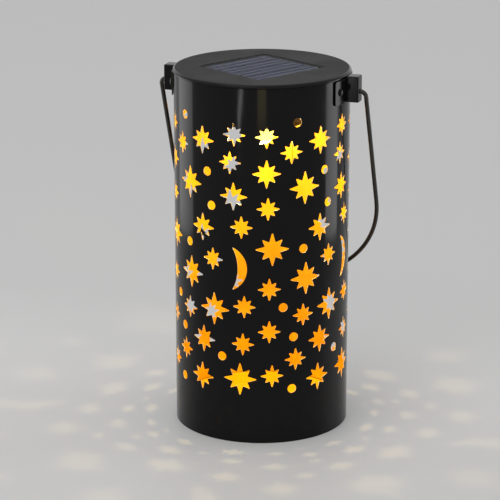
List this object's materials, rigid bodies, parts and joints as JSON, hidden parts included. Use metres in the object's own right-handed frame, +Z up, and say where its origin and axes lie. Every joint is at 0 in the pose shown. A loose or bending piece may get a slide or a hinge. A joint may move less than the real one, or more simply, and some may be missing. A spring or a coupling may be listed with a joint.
{
  "type": "solar lantern",
  "caption": "Solar lantern: perforated metal tube with star and moon cut-outs, a lift-off lid with a solar panel and a lamp below it, two folded ears and a swinging wire bail.",
  "frame": {"origin": "centre of the base pan's underside, on the tube's axis", "axes": "+Z up along the tube's axis, -Y towards the front of the pattern with the lap seam at +Y, +X towards the right ear and along the bail's pivots"},
  "size_m": [0.1484, 0.124, 0.25],
  "materials": {
    "tube_enamel": "gloss black outside, gold inside",
    "base_enamel": "gloss black",
    "bracket_enamel": "gloss black",
    "rivet_steel": "gloss black",
    "bail_wire": "satin black",
    "lid_enamel": "satin black",
    "panel_window": "clear gloss",
    "solar_silicon": "dark blue gloss",
    "panel_backing": "matte",
    "seal_rubber": "matte",
    "housing_plastic": "fine matte",
    "screw_steel": "zinc plated",
    "board_laminate": "solder mask",
    "chip_black": "moulded",
    "cell_wrap": "shrink sleeve",
    "contact_steel": "nickel plated",
    "white_plastic": "moulded",
    "lamp_resin": "clear warm resin",
    "frosted_cap": "frosted",
    "lead_red": "soft insulation",
    "lead_black": "soft insulation"
  },
  "bodies": {
    "lantern_body": {"perforated_tube": "tube_enamel", "base_plate": "base_enamel", "handle_bracket_left": "bracket_enamel", "handle_bracket_right": "bracket_enamel", "bracket_rivet_1": "rivet_steel", "bracket_rivet_2": "rivet_steel", "bracket_rivet_3": "rivet_steel", "bracket_rivet_4": "rivet_steel"},
    "bail": {"bail_handle": "bail_wire"},
    "lid": {"lid_shell": "lid_enamel", "solar_window": "panel_window", "solar_cell_1": "solar_silicon", "solar_cell_2": "solar_silicon", "solar_cell_3": "solar_silicon", "solar_cell_4": "solar_silicon", "panel_board": "panel_backing", "lid_seal_ring": "seal_rubber", "light_housing": "housing_plastic", "housing_screw_1": "screw_steel", "housing_screw_2": "screw_steel", "housing_screw_3": "screw_steel", "housing_screw_4": "screw_steel", "housing_cover": "housing_plastic", "cover_screw_1": "screw_steel", "cover_screw_2": "screw_steel", "cover_screw_3": "screw_steel", "circuit_board": "board_laminate", "driver_chip": "chip_black", "driver_choke": "chip_black", "battery_cradle": "housing_plastic", "battery_cell": "cell_wrap", "battery_spring": "contact_steel", "battery_plate": "contact_steel", "lamp_spacer": "white_plastic", "led_lamp": "lamp_resin", "lamp_diffuser": "frosted_cap", "switch_body": "contact_steel", "panel_lead_red": "lead_red", "panel_lead_black": "lead_black"},
    "switch": {"switch_slider": "white_plastic"}
  },
  "joints": [
    {"name": "bail_swing", "type": "hinge", "parent": "lantern_body", "child": "bail", "pos_m": [0, 0, 0.2375], "axis": [1, 0, 0], "range_deg": [0, 315.5]},
    {"name": "lid_lift", "type": "slide", "parent": "lantern_body", "child": "lid", "axis": [0, 0, 1], "range_m": [0, 0.08]},
    {"name": "switch_slide", "type": "slide", "parent": "lid", "child": "switch", "axis": [1, 0, 0], "range_m": [0, 0.003]}
  ]
}
